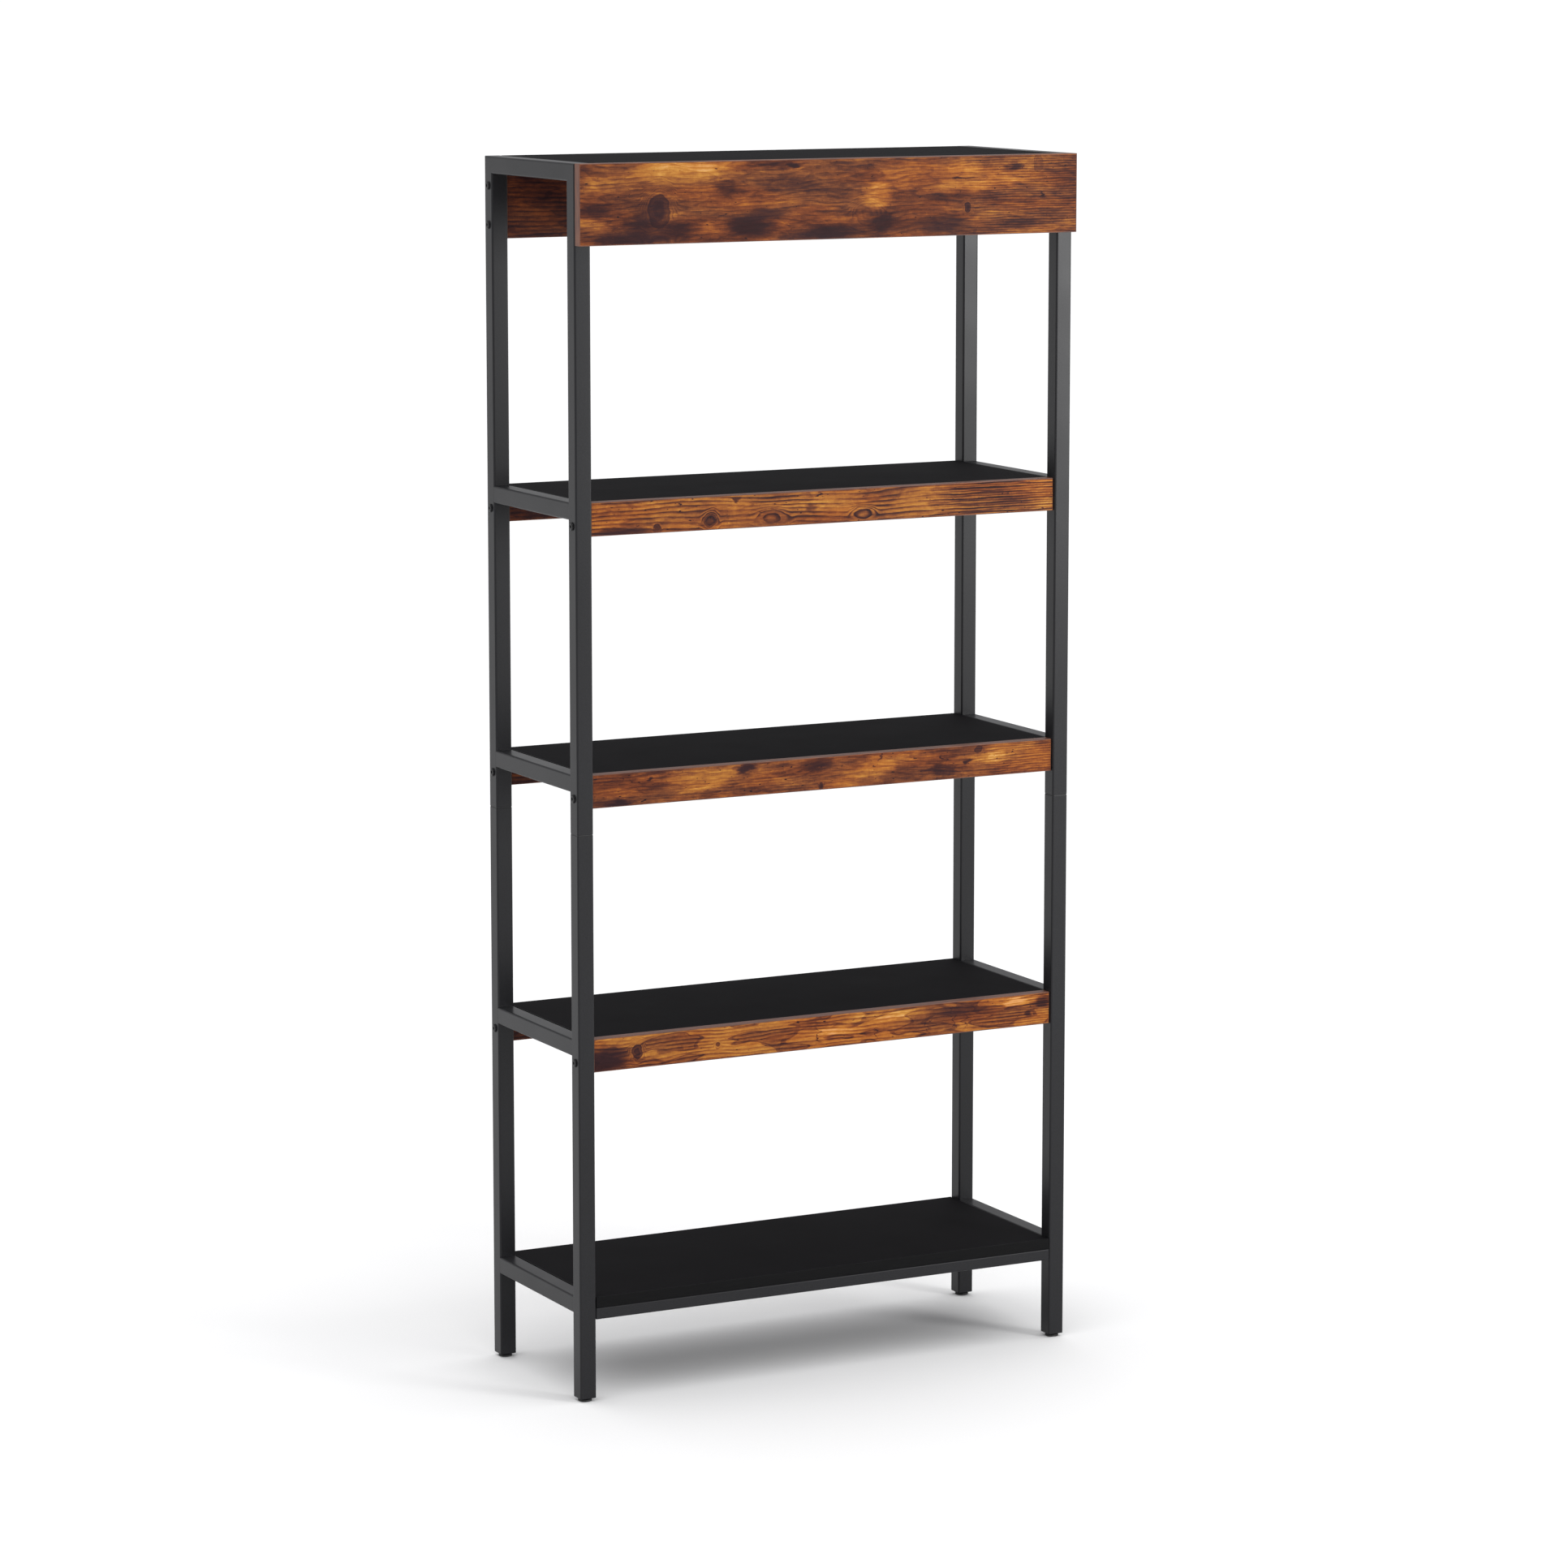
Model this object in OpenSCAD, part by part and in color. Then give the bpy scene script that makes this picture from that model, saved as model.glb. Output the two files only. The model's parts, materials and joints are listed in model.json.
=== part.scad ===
// Open bookcase: two ladder sides of square steel tube, four shelves and a top.
// Millimetres. X runs across, Y from front to back, Z up from the floor.
// The origin is on the floor, under the middle of the overall footprint.

/* [Overall] */
// Width over the two steel side frames
frame_w = 800; // [600:5:1100]
// Depth of a side frame, front face to rear face
frame_d = 300; // [230:5:420]
// Height of the frame's top above the floor
frame_h = 1767; // [1460:1:2200]

/* [Shelf levels] */
// Top of the bottom shelf above the floor
bottom_level = 153; // [120:1:200]
// Top of the lower shelf above the floor
lower_level = 528; // [420:1:640]
// Top of the middle shelf above the floor
middle_level = 908; // [800:1:980]
// Top of the upper shelf above the floor
upper_level = 1294; // [1150:1:1310]

/* [Steel tube] */
// Side of the square tube of the posts and side rails
tube = 25; // [22:0.5:32]
// Wall of that tube
tube_wall = 1.5; // [1:0.1:2.5]
// Outside corner radius of that tube
tube_r = 2.5; // [1.8:0.1:3.5]
// How far the joint in each post lies below the middle shelf's top
joint_drop = 84.5; // [60:0.5:110]
// Thickness of the joint's collar, which shows between the two tubes
joint_collar = 1; // [0.6:0.1:3]
// How far the joint reaches into each tube
joint_reach = 65; // [58:1:90]
// Wall of the joint
joint_wall = 2; // [1.5:0.1:3]
// Gap round a joint, socket or lug inside its tube
slip_gap = 0.3; // [0.2:0.05:0.5]

/* [Crossbars under the bottom shelf] */
// Height of a crossbar
crossbar_h = 17; // [15:0.5:25]
// Depth of a crossbar
crossbar_d = 20; // [16:0.5:25]
// Wall of a crossbar
crossbar_wall = 1.5; // [1:0.1:2]
// Outside corner radius of a crossbar
crossbar_r = 2; // [1.7:0.1:3]
// How far a lug on a post reaches into the crossbar
lug_len = 30; // [24:1:45]

/* [Boards] */
// Thickness of the shelves, aprons and back board
board_t = 16; // [15:0.5:22]
// Thickness of the fascia
fascia_t = 15; // [13:0.5:22]
// Height of the fascia
fascia_h = 114; // [100:1:150]
// How far each end of the fascia stops short of the frame's side
fascia_inset = 1; // [0:0.5:5]
// Height of the apron along the front of a shelf
apron_h = 48; // [44:1:70]
// Height of the apron under the back of a shelf
back_apron_h = 37; // [34:1:50]
// Height of the board under the back of the top
back_board_h = 102; // [90:1:140]
// Gap between the end of a board or crossbar and the steel
board_gap = 0.5; // [0.2:0.1:2]
// How far the shelves and the top stop short of the frame's rear face
shelf_setback = 2; // [0:0.5:4]

/* [Fasteners] */
// Shank diameter of the frame bolts
bolt_d = 6; // [5:0.5:8]
// Head diameter of the frame bolts
bolt_head_d = 12; // [10:0.5:14]
// Head height of the frame bolts
bolt_head_h = 2.4; // [2:0.1:4]
// Width across the flats of a bolt's hexagon socket
bolt_socket = 4; // [3:0.5:5]
// How far a bolt reaches into its board
bolt_reach = 20; // [16:1:26]
// How far a fascia bolt reaches into the fascia
fascia_reach = 10; // [8:0.5:11]
// Drop of a shelf's bolts below the shelf's top
bolt_drop = 33; // [28:0.5:38]
// Drop of the highest bolts below the frame's top
top_bolt_drop = 42; // [38:0.5:46]
// Spacing of the two bolts at each end of the fascia and of the back board
top_bolt_pitch = 56; // [40:1:60]
// Outside diameter of the threaded inserts
insert_d = 10; // [9:0.5:11]
// Radial gap between a shank, insert or dowel and its hole
hole_gap = 0.2; // [0.1:0.05:0.4]
// Diameter of the wooden dowels
dowel_d = 8; // [6:0.5:9]
// Depth of a dowel in each of the two boards that it joins
dowel_half = 11; // [8:0.5:12]
// Spacing of the three dowels in each row
dowel_pitch = 250; // [120:5:280]
// Shank diameter of the small screws
screw_d = 4; // [3:0.5:5]
// Head diameter of the small screws
screw_head_d = 8; // [6:0.5:10]
// Head height of the small screws
screw_head_h = 1.6; // [1.2:0.1:2.5]
// How far a shelf screw reaches into the bottom shelf
screw_reach = 12; // [9:0.5:14]

/* [Feet] */
// Height of the tube ends above the floor, with the feet screwed right in
foot_gap = 5; // [4.5:0.5:12]
// Diameter of a foot's pad
pad_d = 20; // [16:1:24]
// Height of a foot's pad
pad_h = 3.2; // [2.5:0.1:4]
// Width of the bevel round the pad's top edge
pad_bevel = 1; // [0.5:0.1:1.5]
// Diameter of the shoulder above the pad
shoulder_d = 13; // [11:0.5:16]
// Gap between the shoulder and the socket above it
shoulder_gap = 0.3; // [0.1:0.1:1]
// Diameter of a foot's stud
stud_d = 8; // [6:0.5:10]
// Length of the stud above the tube's end
stud_len = 38; // [34:1:60]
// Radial clearance of the stud in its socket
stud_gap = 0.06; // [0.03:0.01:0.1]
// Height of the socket in the tube's end
socket_h = 26; // [20:1:40]

/* [Hidden] */
$fn = 48;
LEFT = -1;
RIGHT = 1;
FRONT = -1;
REAR = 1;
FACES = [LEFT, RIGHT];
ENDS = [FRONT, REAR];
cut = 1; // overrun of a cutter past the face it cuts
tip_gap = 1; // room past the tip of a bolt or lug screw
insert_tail = 2; // how far a board's bolt runs on past its insert
crown_ratio = 0.72; // width of a bolt head's crown to the head's width
socket_floor = 0.3; // height of a hexagon socket's floor to the head's height
lug_hole_ratio = 0.6; // place of a lug's screw along the lug, from the post

// The footprint includes the fascia, so the frame's own middle is set back
frame_y = fascia_t / 2;
front_y = frame_y - frame_d / 2;
rear_y = frame_y + frame_d / 2;
joint_z = middle_level - joint_drop;
inner_half = frame_w / 2 - tube;
board_half = inner_half - board_gap;
tube_inner = tube - 2 * tube_wall;
tube_inner_r = tube_r - tube_wall;
slip_side = tube_inner - 2 * slip_gap;
crossbar_z = bottom_level - board_t - crossbar_h;
insert_len = bolt_reach - insert_tail;
fascia_insert_len = fascia_reach + tip_gap;
shelf_levels = [lower_level, middle_level, upper_level];
top_bolt_z = [for (i = [0, 1]) frame_h - top_bolt_drop - i * top_bolt_pitch];
dowel_x = [for (i = [-1, 0, 1]) i * dowel_pitch];

steel = "#3a3a3c";
wood = "#8a5630";
laminate = "#242526";
black_plastic = "#1b1b1c";
black_bolt = "#161617";
zinc = "#b9b3a2";
beech = "#cfae7c";

function post_x(side) = side * (frame_w - tube) / 2;
function post_y(end) = frame_y + end * (frame_d - tube) / 2;
function crossbar_y(end) = frame_y + end * (frame_d - crossbar_d) / 2;
function lug_x(side) = side * (inner_half - lug_len * lug_hole_ratio);
function bolt_z(level) = level - bolt_drop;
// The back aprons carry the shelves, so they start one board lower
function back_apron_top(level) = level - board_t;
shelf_front = post_y(FRONT) + board_t / 2;

// ---- shapes that repeat ----

module rounded_rect(w, d, r) {
    square([w - 2 * r, d], center = true);
    square([w, d - 2 * r], center = true);
    for (x = [-1, 1], y = [-1, 1])
        translate([x * (w / 2 - r), y * (d / 2 - r)]) circle(r);
}

module tube_section(w, d, r, wall) {
    difference() {
        rounded_rect(w, d, r);
        rounded_rect(w - 2 * wall, d - 2 * wall, r - wall);
    }
}

// A length of the frame tube, upwards from the origin
module frame_tube(length) {
    linear_extrude(length) tube_section(tube, tube, tube_r, tube_wall);
}

// Moves a shape to the centre line of one corner's post
module at_post(side, end) {
    translate([post_x(side), post_y(end), 0]) children();
}

// A round bar along X from the origin, outwards to the given side
module bar_x(d, length, side) {
    rotate([0, side * 90, 0]) cylinder(d = d, h = length);
}

// A round bar along Y from the origin, towards the front or the rear
module bar_y(d, length, end) {
    rotate([-end * 90, 0, 0]) cylinder(d = d, h = length);
}

// A hole for a frame bolt right through a post, along X
module post_hole_x(side, end, z) {
    translate([-tube, 0, z]) bar_x(bolt_d + 2 * hole_gap, 2 * tube, RIGHT);
}

// A hole for a fascia bolt right through a post, along Y
module post_hole_y(z) {
    translate([0, -tube, z]) bar_y(bolt_d + 2 * hole_gap, 2 * tube, REAR);
}

// The corner above the mitre, as a wedge across the tube
module mitre_wedge(end) {
    outer = end * tube / 2;
    inner = -end * tube / 2;
    past = inner - end * cut;
    rotate([90, 0, 90]) linear_extrude(tube + 2 * cut, center = true)
        polygon([
            [outer, frame_h], [inner, frame_h - tube], [past, frame_h - tube],
            [past, frame_h + cut], [outer, frame_h + cut]
        ]);
}

// The corner below the mitre, as a wedge across the tube
module mitre_heel(end) {
    outer = end * tube / 2;
    inner = -end * tube / 2;
    past = outer + end * cut;
    rotate([90, 0, 90]) linear_extrude(tube + 2 * cut, center = true)
        polygon([
            [outer, frame_h], [inner, frame_h - tube], [inner, frame_h - tube - cut],
            [past, frame_h - tube - cut], [past, frame_h]
        ]);
}

// A low-headed bolt with a hexagon socket: the head's seat is at the origin and it points down
module socket_bolt(length) {
    crown_d = bolt_head_d * crown_ratio;
    difference() {
        union() {
            cylinder(d = bolt_head_d, h = bolt_head_h / 2);
            translate([0, 0, bolt_head_h / 2])
                cylinder(d1 = bolt_head_d, d2 = crown_d, h = bolt_head_h / 2);
            translate([0, 0, -length]) cylinder(d = bolt_d, h = length + bolt_head_h / 2);
        }
        translate([0, 0, bolt_head_h * socket_floor])
            cylinder(d = bolt_socket / cos(30), h = bolt_head_h, $fn = 6);
    }
}

// A flat-headed screw: the head's seat is at the origin and it points up
module flat_screw(length) {
    cylinder(d = screw_d, h = length);
    translate([0, 0, -screw_head_h]) cylinder(d = screw_head_d, h = screw_head_h);
}

// A threaded insert along Z, from the origin up
module insert_nut(length) {
    difference() {
        cylinder(d = insert_d, h = length);
        translate([0, 0, -cut]) cylinder(d = bolt_d + 2 * hole_gap, h = length + 2 * cut);
    }
}

// ---- side frames ----

module upper_post(side, end) {
    start = joint_z + joint_collar / 2;
    color(steel) at_post(side, end) difference() {
        translate([0, 0, start]) frame_tube(frame_h - start);
        mitre_wedge(end);
        for (level = [middle_level, upper_level]) post_hole_x(side, end, bolt_z(level));
        for (z = top_bolt_z) {
            if (end == REAR) post_hole_x(side, end, z);
            if (end == FRONT) post_hole_y(z);
        }
    }
}

module lower_post(side, end) {
    color(steel) at_post(side, end) difference() {
        translate([0, 0, foot_gap]) frame_tube(joint_z - joint_collar / 2 - foot_gap);
        post_hole_x(side, end, bolt_z(lower_level));
    }
}

// The top rail runs the frame's full depth and is mitred to both posts
module top_rail(side) {
    color(steel) difference() {
        translate([post_x(side), front_y, frame_h - tube / 2])
            rotate([-90, 0, 0]) frame_tube(frame_d);
        for (end = ENDS) at_post(side, end) mitre_heel(end);
    }
}

// The other rails fit between the posts, flush with the shelf that they pass
module side_rail(side, level) {
    color(steel) translate([post_x(side), front_y + tube, level - tube / 2])
        rotate([-90, 0, 0]) frame_tube(frame_d - 2 * tube);
}

// The joint slips into both halves of a post, and its collar parts them. The middle
// shelf's bolt goes through its upper half and locks it.
module tube_joint(side, end) {
    collar_side = tube - 2 * slip_gap;
    bore_side = slip_side - 2 * joint_wall;
    bore_r = tube_inner_r / 2;
    color(black_plastic) at_post(side, end) difference() {
        union() {
            translate([0, 0, joint_z - joint_reach]) linear_extrude(2 * joint_reach)
                rounded_rect(slip_side, slip_side, tube_inner_r);
            translate([0, 0, joint_z - joint_collar / 2]) linear_extrude(joint_collar)
                rounded_rect(collar_side, collar_side, tube_r);
        }
        translate([0, 0, joint_z - joint_reach - cut]) linear_extrude(2 * (joint_reach + cut))
            rounded_rect(bore_side, bore_side, bore_r);
        post_hole_x(side, end, bolt_z(middle_level));
    }
}

// ---- crossbars ----

module crossbar(end) {
    screw_hole = screw_d + 2 * hole_gap;
    color(steel) difference() {
        translate([-board_half, crossbar_y(end), crossbar_z + crossbar_h / 2])
            rotate([90, 0, 90]) linear_extrude(2 * board_half)
                tube_section(crossbar_d, crossbar_h, crossbar_r, crossbar_wall);
        for (x = dowel_x)
            translate([x, crossbar_y(end), crossbar_z - cut])
                cylinder(d = screw_hole, h = crossbar_h + 2 * cut);
        for (side = FACES)
            translate([lug_x(side), crossbar_y(end), crossbar_z - cut])
                cylinder(d = screw_hole, h = crossbar_h / 2);
    }
}

// A lug stands on each lower post and plugs into the crossbar's open end
module crossbar_lugs() {
    lug_d = crossbar_d - 2 * (crossbar_wall + slip_gap);
    lug_h = crossbar_h - 2 * (crossbar_wall + slip_gap);
    color(steel) for (side = FACES, end = ENDS) difference() {
        translate([
            side * (inner_half - lug_len / 2), crossbar_y(end), crossbar_z + crossbar_h / 2
        ]) cube([lug_len, lug_d, lug_h], center = true);
        translate([lug_x(side), crossbar_y(end), crossbar_z])
            cylinder(d = screw_d + 2 * hole_gap, h = crossbar_h);
    }
}

// ---- boards ----

// The hole for a bolt and its insert in the end of a board, along X
module end_hole(side, y, z) {
    translate([side * (inner_half + cut), y, z])
        bar_x(insert_d + 2 * hole_gap, bolt_reach + 2 * cut, -side);
}

// A row of dowel holes along Y, centred on the joint between two boards
module dowel_row_y(y, z, gap) {
    for (x = dowel_x)
        translate([x, y - dowel_half - gap, z])
            bar_y(dowel_d + 2 * gap, 2 * (dowel_half + gap), REAR);
}

// A row of dowel holes along Z, centred on the joint between two boards
module dowel_row_z(y, z, gap) {
    for (x = dowel_x)
        translate([x, y, z - dowel_half - gap])
            cylinder(d = dowel_d + 2 * gap, h = 2 * (dowel_half + gap));
}

// The dowels of one shelf: a row into its front board and a row into the board under its back
module shelf_dowels(front_face, level, gap) {
    dowel_row_y(front_face, level - board_t / 2, gap);
    dowel_row_z(post_y(REAR), level - board_t, gap);
}

module front_apron(level) {
    color(wood) difference() {
        translate([-board_half, post_y(FRONT) - board_t / 2, level - apron_h])
            cube([2 * board_half, board_t, apron_h]);
        for (side = FACES) end_hole(side, post_y(FRONT), bolt_z(level));
        shelf_dowels(shelf_front, level, hole_gap);
    }
}

module back_apron(level) {
    color(wood) difference() {
        translate([-board_half, post_y(REAR) - board_t / 2, back_apron_top(level) - back_apron_h])
            cube([2 * board_half, board_t, back_apron_h]);
        for (side = FACES) end_hole(side, post_y(REAR), bolt_z(level));
        shelf_dowels(shelf_front, level, hole_gap);
    }
}

module shelf(level) {
    color(laminate) difference() {
        translate([-board_half, shelf_front, level - board_t])
            cube([2 * board_half, rear_y - shelf_setback - shelf_front, board_t]);
        shelf_dowels(shelf_front, level, hole_gap);
    }
}

module top_panel() {
    color(laminate) difference() {
        translate([-board_half, front_y, frame_h - board_t])
            cube([2 * board_half, frame_d - shelf_setback, board_t]);
        shelf_dowels(front_y, frame_h, hole_gap);
    }
}

module bottom_shelf() {
    color(laminate) difference() {
        translate([-board_half, front_y, bottom_level - board_t])
            cube([2 * board_half, frame_d, board_t]);
        for (x = dowel_x, end = ENDS)
            translate([x, crossbar_y(end), bottom_level - board_t - cut])
                cylinder(d = screw_d + 2 * hole_gap, h = screw_reach + 2 * cut);
    }
}

module fascia() {
    length = frame_w - 2 * fascia_inset;
    color(wood) difference() {
        translate([-length / 2, front_y - fascia_t, frame_h - fascia_h])
            cube([length, fascia_t, fascia_h]);
        for (side = FACES, z = top_bolt_z)
            translate([post_x(side), front_y + cut, z])
                bar_y(insert_d + 2 * hole_gap, fascia_insert_len + 2 * cut, FRONT);
        shelf_dowels(front_y, frame_h, hole_gap);
    }
}

module back_board() {
    color(wood) difference() {
        translate([-board_half, post_y(REAR) - board_t / 2, frame_h - board_t - back_board_h])
            cube([2 * board_half, board_t, back_board_h]);
        for (side = FACES, z = top_bolt_z) end_hole(side, post_y(REAR), z);
        shelf_dowels(front_y, frame_h, hole_gap);
    }
}

// ---- feet ----

module foot_socket(side, end) {
    color(black_plastic) at_post(side, end) translate([0, 0, foot_gap]) difference() {
        linear_extrude(socket_h) rounded_rect(slip_side, slip_side, tube_inner_r);
        translate([0, 0, -cut]) cylinder(d = stud_d + 2 * stud_gap, h = socket_h + 2 * cut);
    }
}

module foot(side, end) {
    shoulder_top = foot_gap - shoulder_gap;
    color(black_plastic) at_post(side, end) {
        cylinder(d = pad_d, h = pad_h - pad_bevel);
        translate([0, 0, pad_h - pad_bevel])
            cylinder(d1 = pad_d, d2 = pad_d - 2 * pad_bevel, h = pad_bevel);
        cylinder(d = shoulder_d, h = shoulder_top);
        cylinder(d = stud_d, h = foot_gap + stud_len);
    }
}

// ---- fasteners ----

// A frame bolt through a post along X, with its head outside
module side_bolt(side, end, z) {
    translate([side * frame_w / 2, post_y(end), z])
        rotate([0, side * 90, 0]) socket_bolt(tube + bolt_reach - tip_gap);
}

module apron_bolts(side) {
    color(black_bolt) for (end = ENDS, level = shelf_levels) side_bolt(side, end, bolt_z(level));
}

module back_board_bolts() {
    color(black_bolt) for (side = FACES, z = top_bolt_z) side_bolt(side, REAR, z);
}

// The fascia's bolts go in from behind the front posts
module fascia_bolts() {
    color(black_bolt) for (side = FACES, z = top_bolt_z)
        translate([post_x(side), front_y + tube, z])
            rotate([-90, 0, 0]) socket_bolt(tube + fascia_reach);
}

// An insert in the end of a board, flush with that end
module end_insert(side, end, z) {
    translate([side * board_half, post_y(end), z]) rotate([0, -side * 90, 0]) insert_nut(insert_len);
}

module apron_inserts() {
    color(zinc) for (side = FACES, end = ENDS, level = shelf_levels)
        end_insert(side, end, bolt_z(level));
}

module top_inserts() {
    color(zinc) for (side = FACES, z = top_bolt_z) {
        end_insert(side, REAR, z);
        translate([post_x(side), front_y, z]) rotate([90, 0, 0]) insert_nut(fascia_insert_len);
    }
}

module level_dowels(level) {
    color(beech) shelf_dowels(shelf_front, level, 0);
}

module top_dowels() {
    color(beech) shelf_dowels(front_y, frame_h, 0);
}

module crossbar_screws() {
    color(black_bolt) for (x = dowel_x, end = ENDS)
        translate([x, crossbar_y(end), crossbar_z]) flat_screw(crossbar_h + screw_reach);
}

module lug_screws() {
    color(black_bolt) for (side = FACES, end = ENDS)
        translate([lug_x(side), crossbar_y(end), crossbar_z])
            flat_screw(crossbar_h - crossbar_wall - slip_gap - tip_gap);
}

// ---- the pieces, one node each ----

upper_post(LEFT, FRONT);  // left_front_upper_post
upper_post(LEFT, REAR);  // left_rear_upper_post
lower_post(LEFT, FRONT);  // left_front_lower_post
lower_post(LEFT, REAR);  // left_rear_lower_post
upper_post(RIGHT, FRONT);  // right_front_upper_post
upper_post(RIGHT, REAR);  // right_rear_upper_post
lower_post(RIGHT, FRONT);  // right_front_lower_post
lower_post(RIGHT, REAR);  // right_rear_lower_post

top_rail(LEFT);  // left_top_rail
side_rail(LEFT, upper_level);  // left_upper_rail
side_rail(LEFT, middle_level);  // left_middle_rail
side_rail(LEFT, lower_level);  // left_lower_rail
side_rail(LEFT, bottom_level);  // left_bottom_rail
top_rail(RIGHT);  // right_top_rail
side_rail(RIGHT, upper_level);  // right_upper_rail
side_rail(RIGHT, middle_level);  // right_middle_rail
side_rail(RIGHT, lower_level);  // right_lower_rail
side_rail(RIGHT, bottom_level);  // right_bottom_rail

tube_joint(LEFT, FRONT);  // left_front_tube_joint
tube_joint(LEFT, REAR);  // left_rear_tube_joint
tube_joint(RIGHT, FRONT);  // right_front_tube_joint
tube_joint(RIGHT, REAR);  // right_rear_tube_joint

crossbar(FRONT);  // front_crossbar
crossbar(REAR);  // rear_crossbar
crossbar_lugs();

fascia();
back_board();
front_apron(upper_level);  // upper_front_apron
front_apron(middle_level);  // middle_front_apron
front_apron(lower_level);  // lower_front_apron
back_apron(upper_level);  // upper_back_apron
back_apron(middle_level);  // middle_back_apron
back_apron(lower_level);  // lower_back_apron

top_panel();
shelf(upper_level);  // upper_shelf
shelf(middle_level);  // middle_shelf
shelf(lower_level);  // lower_shelf
bottom_shelf();

foot_socket(LEFT, FRONT);  // left_front_foot_socket
foot_socket(LEFT, REAR);  // left_rear_foot_socket
foot_socket(RIGHT, FRONT);  // right_front_foot_socket
foot_socket(RIGHT, REAR);  // right_rear_foot_socket
foot(LEFT, FRONT);  // left_front_foot
foot(LEFT, REAR);  // left_rear_foot
foot(RIGHT, FRONT);  // right_front_foot
foot(RIGHT, REAR);  // right_rear_foot

apron_bolts(LEFT);  // left_apron_bolts
apron_bolts(RIGHT);  // right_apron_bolts
back_board_bolts();
fascia_bolts();
apron_inserts();
top_inserts();
level_dowels(upper_level);  // upper_dowels
level_dowels(middle_level);  // middle_dowels
level_dowels(lower_level);  // lower_dowels
top_dowels();
crossbar_screws();
lug_screws();
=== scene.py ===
"""Open bookcase: the visible pieces, their finishes, the light and the camera.

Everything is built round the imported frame, in metres and in the same place. The file is laid
out as a Blender add-on and is run as a script.
"""

import json
import math

import bmesh
import bpy
from bpy.props import FloatProperty, FloatVectorProperty, IntProperty, PointerProperty
from mathutils import Matrix, Vector


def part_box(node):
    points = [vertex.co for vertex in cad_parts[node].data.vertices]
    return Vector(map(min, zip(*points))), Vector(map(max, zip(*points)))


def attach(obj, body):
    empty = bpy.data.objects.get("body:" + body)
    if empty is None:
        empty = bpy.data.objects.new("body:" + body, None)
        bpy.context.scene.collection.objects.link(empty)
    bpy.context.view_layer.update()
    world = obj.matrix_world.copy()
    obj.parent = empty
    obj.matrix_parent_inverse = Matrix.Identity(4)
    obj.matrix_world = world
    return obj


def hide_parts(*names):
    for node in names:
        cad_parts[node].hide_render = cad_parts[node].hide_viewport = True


bl_info = {
    "name": "Open Bookcase",
    "version": (1, 0, 0),
    "blender": (4, 5, 0),
    "location": "View3D > Sidebar > Bookcase",
    "description": "Builds an open bookcase of steel tube and board round its packed frame",
    "category": "Object",
}

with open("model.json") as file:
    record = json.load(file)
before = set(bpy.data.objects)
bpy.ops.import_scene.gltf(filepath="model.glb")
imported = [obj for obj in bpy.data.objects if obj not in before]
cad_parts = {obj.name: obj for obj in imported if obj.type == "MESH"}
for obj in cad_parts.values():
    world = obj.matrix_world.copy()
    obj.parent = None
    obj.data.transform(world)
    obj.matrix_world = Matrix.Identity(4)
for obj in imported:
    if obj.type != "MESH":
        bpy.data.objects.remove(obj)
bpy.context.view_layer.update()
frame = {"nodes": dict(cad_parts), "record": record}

MM = 0.001
X, Y, Z = range(3)
FRAME_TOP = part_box("left_top_rail")[1].z
BODY_OF = {node: body for body, nodes in frame["record"]["behaviour"]["bodies"].items()
           for node in nodes}
SIDES = ("left", "right")
ENDS = ("front", "rear")
CORNERS = [f"{side}_{end}" for side in SIDES for end in ENDS]
LEVELS = ("lower", "middle", "upper")


def linear(hex_colour):
    """An sRGB hex colour as linear red, green, blue and alpha."""
    channels = [int(hex_colour[i:i + 2], 16) / 255 for i in (1, 3, 5)]
    return (*[c / 12.92 if c <= 0.04045 else ((c + 0.055) / 1.055) ** 2.4 for c in channels], 1.0)


# ---- what a user would change ----

class SteelSettings(bpy.types.PropertyGroup):
    """Sizes and colour of the welded side frames."""
    corner: FloatProperty(
        name="Corner radius", description="Outside corner radius of the square tube",
        default=2.5 * MM, min=1 * MM, max=4 * MM, unit="LENGTH")
    wall: FloatProperty(
        name="Wall", description="Wall of the square tube",
        default=1.5 * MM, min=0.8 * MM, max=3 * MM, unit="LENGTH")
    bar_corner: FloatProperty(
        name="Crossbar corner radius", description="Outside corner radius of the crossbars",
        default=2 * MM, min=1 * MM, max=4 * MM, unit="LENGTH")
    deburr: FloatProperty(
        name="Deburred edge", description="Width of the broken edge round a sawn tube end",
        default=0.8 * MM, min=0.1 * MM, max=1.2 * MM, unit="LENGTH")
    joint_reach: FloatProperty(
        name="Joint collar", description="Thickness of the joint's collar between the tubes",
        default=1 * MM, min=0.5 * MM, max=3 * MM, unit="LENGTH")
    colour: FloatVectorProperty(
        name="Powder coat", description="Colour of the powder coat", subtype="COLOR", size=4,
        default=linear("#1b1b1d"), min=0, max=1)


class BoardSettings(bpy.types.PropertyGroup):
    """Sizes and colours of the boards."""
    arris: FloatProperty(
        name="Arris", description="Radius of the eased edges of a board",
        default=0.6 * MM, min=0.2 * MM, max=2 * MM, unit="LENGTH")
    band: FloatProperty(
        name="Edge band", description="Thickness of the edge band",
        default=1 * MM, min=0.4 * MM, max=2 * MM, unit="LENGTH")
    groove: FloatProperty(
        name="Glue line", description="Width and depth of the line between band and face",
        default=0.12 * MM, min=0.05 * MM, max=0.3 * MM, unit="LENGTH")
    black: FloatVectorProperty(
        name="Melamine", description="Colour of the black shelves", subtype="COLOR", size=4,
        default=linear("#0f0e10"), min=0, max=1)


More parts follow.
